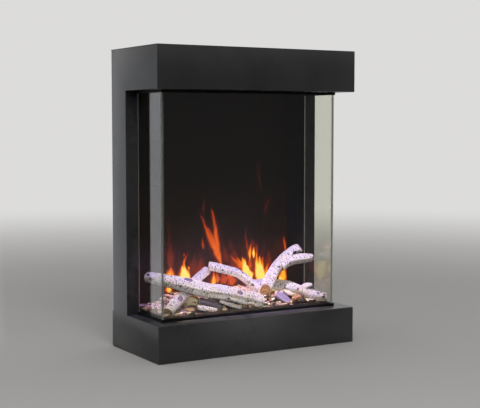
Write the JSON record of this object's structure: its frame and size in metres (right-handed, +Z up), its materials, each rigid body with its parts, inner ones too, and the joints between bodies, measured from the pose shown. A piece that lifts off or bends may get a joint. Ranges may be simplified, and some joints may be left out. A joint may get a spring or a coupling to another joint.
{
  "type": "three-sided electric fireplace",
  "caption": "Tall wall-end electric fireplace: black steel surround, glass on three sides, flame screen behind a bed of birch logs, heater outlet and controls under the hood.",
  "frame": {"origin": "middle of the footprint, on the surface that the fireplace stands on", "axes": "+Z up, +Y into the wall behind it, so that the viewer in front looks along +Y, +X to that viewer's right"},
  "size_m": [0.52, 0.246, 0.695],
  "materials": {
    "black_powder_coat": "satin black powder coat",
    "matt_black_liner": "matt black",
    "clear_glass": "clear toughened glass, polished",
    "smoked_screen": "dark smoked satin screen",
    "clear_seal": "translucent seal",
    "birch_bark": "white birch bark with dark flecks and knots",
    "grey_driftwood": "weathered grey driftwood",
    "tan_bark": "dry tan bark",
    "brown_bark": "rough brown bark",
    "bark_chips": "loose bark chips, matt",
    "galvanised_steel": "galvanised sheet",
    "bright_steel": "bright steel",
    "black_plastic": "black moulded plastic",
    "grey_plastic": "grey moulded plastic",
    "circuit_board": "green solder mask",
    "white_lens": "frosted white lens",
    "heater_ceramic": "unglazed heater ceramic",
    "dark_window": "dark infrared window",
    "black_rubber": "black rubber"
  },
  "bodies": {
    "casing": {"back_panel": "black_powder_coat", "back_screw_1": "bright_steel", "back_screw_2": "bright_steel", "back_screw_3": "bright_steel", "back_screw_4": "bright_steel", "bark_chunk": "tan_bark", "base_plate": "black_powder_coat", "bed_tray": "matt_black_liner", "blower_housing": "galvanised_steel", "blower_motor": "galvanised_steel", "cable_gland": "black_rubber", "control_board": "circuit_board", "control_panel": "black_plastic", "driftwood_chunk": "grey_driftwood", "ember_light_board": "circuit_board", "flame_light_board": "circuit_board", "flame_light_bracket": "galvanised_steel", "flame_screen": "smoked_screen", "flicker_motor": "galvanised_steel", "forked_log": "birch_bark", "front_glass": "clear_glass", "grey_split_log": "grey_driftwood", "heater_element": "heater_ceramic", "hood_shell": "black_powder_coat", "left_corner_seal": "clear_seal", "left_glass": "clear_glass", "left_inner_wall": "matt_black_liner", "left_side_panel": "black_powder_coat", "log_light_board": "circuit_board", "log_light_lens": "white_lens", "long_log": "birch_bark", "long_stick": "birch_bark", "low_log": "birch_bark", "lower_glass_channel": "matt_black_liner", "media_bed": "bark_chips", "middle_log": "birch_bark", "outlet_grille": "matt_black_liner", "plinth_shell": "black_powder_coat", "power_supply": "black_plastic", "prop_log": "birch_bark", "receiver_window": "dark_window", "right_corner_seal": "clear_seal", "right_glass": "clear_glass", "right_inner_wall": "matt_black_liner", "right_side_panel": "black_powder_coat", "rocker_frame": "black_plastic", "rod_bearing_left": "galvanised_steel", "rod_bearing_right": "galvanised_steel", "short_stick": "birch_bark", "small_log": "brown_bark", "thermal_cutout": "black_plastic", "top_plate": "black_powder_coat", "upper_glass_channel": "matt_black_liner"},
    "flicker_rod": {"flicker_rod": "bright_steel"},
    "blower_wheel": {"blower_wheel": "grey_plastic"},
    "flame_button": {"flame_button": "grey_plastic"},
    "heat_button": {"heat_button": "grey_plastic"},
    "timer_button": {"timer_button": "grey_plastic"},
    "power_rocker": {"power_rocker": "grey_plastic"}
  },
  "joints": [
    {"name": "flicker_rod_spin", "type": "hinge", "parent": "casing", "child": "flicker_rod", "pos_m": [0, 0.105, 0.05], "axis": [1, 0, 0], "continuous": true},
    {"name": "blower_wheel_spin", "type": "hinge", "parent": "casing", "child": "blower_wheel", "pos_m": [0, -0.061, 0.652], "axis": [1, 0, 0], "continuous": true},
    {"name": "flame_button_press", "type": "slide", "parent": "casing", "child": "flame_button", "axis": [0, 0, 1], "range_m": [0, 0.0015], "stiffness_N_per_m": 600},
    {"name": "heat_button_press", "type": "slide", "parent": "casing", "child": "heat_button", "axis": [0, 0, 1], "range_m": [0, 0.0015], "stiffness_N_per_m": 600},
    {"name": "timer_button_press", "type": "slide", "parent": "casing", "child": "timer_button", "axis": [0, 0, 1], "range_m": [0, 0.0015], "stiffness_N_per_m": 600},
    {"name": "power_rocker_tip", "type": "hinge", "parent": "casing", "child": "power_rocker", "pos_m": [0.129, -0.103, 0.6016], "axis": [0, -1, 0], "range_deg": [0, 14]}
  ]
}
